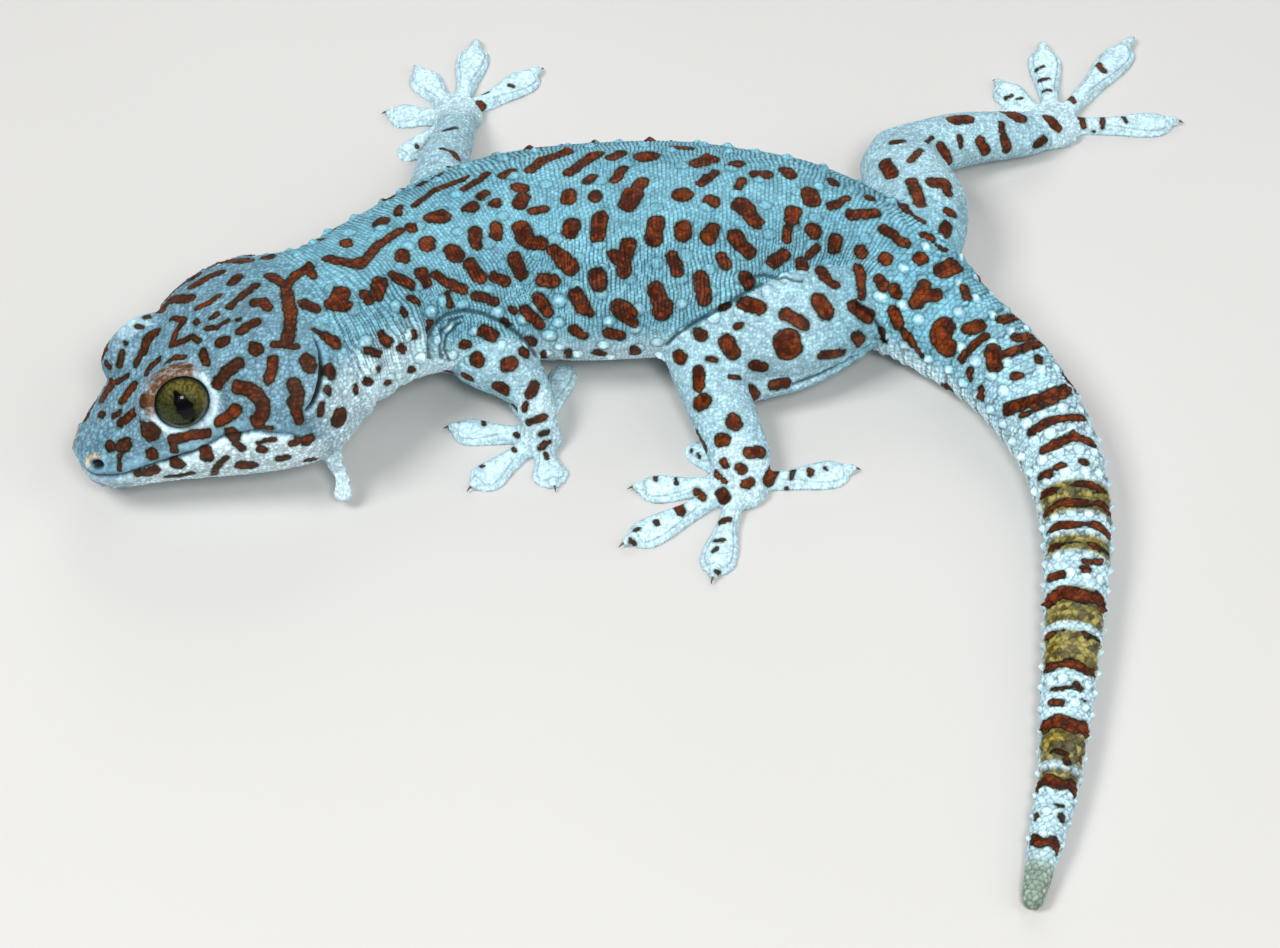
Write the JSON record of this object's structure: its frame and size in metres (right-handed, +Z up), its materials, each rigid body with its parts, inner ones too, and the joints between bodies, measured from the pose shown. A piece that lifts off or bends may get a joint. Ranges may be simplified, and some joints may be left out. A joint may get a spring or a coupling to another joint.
{
  "type": "tokay gecko",
  "caption": "Life-size gecko with a broad head, spotted pale skin, spread padded toes and a long ringed tail bent to its left, lying on flat soles and the tail's underside.",
  "frame": {"origin": "on the floor, under the middle of the animal's bounding box", "axes": "-X towards the snout, -Y towards the animal's left side and the tip of its tail, +Z up"},
  "size_m": [0.1979, 0.2053, 0.0322],
  "materials": {
    "skin": "matt, finely scaled, pale blue-grey with rust-orange spots",
    "eye": "wet gloss, olive-gold iris with a dark slit"
  },
  "bodies": {
    "root": {"head": "skin", "neck": "skin", "torso": "skin", "tail_base": "skin", "tail_middle": "skin", "tail_tip": "skin", "foreleg_left_upper": "skin", "foreleg_left_lower": "skin", "foreleg_left_hand": "skin", "foreleg_right_upper": "skin", "foreleg_right_lower": "skin", "foreleg_right_hand": "skin", "hindleg_left_upper": "skin", "hindleg_left_lower": "skin", "hindleg_left_foot": "skin", "hindleg_right_upper": "skin", "hindleg_right_lower": "skin", "hindleg_right_foot": "skin", "eye_left": "eye", "eye_right": "eye"}
  },
  "joints": []
}
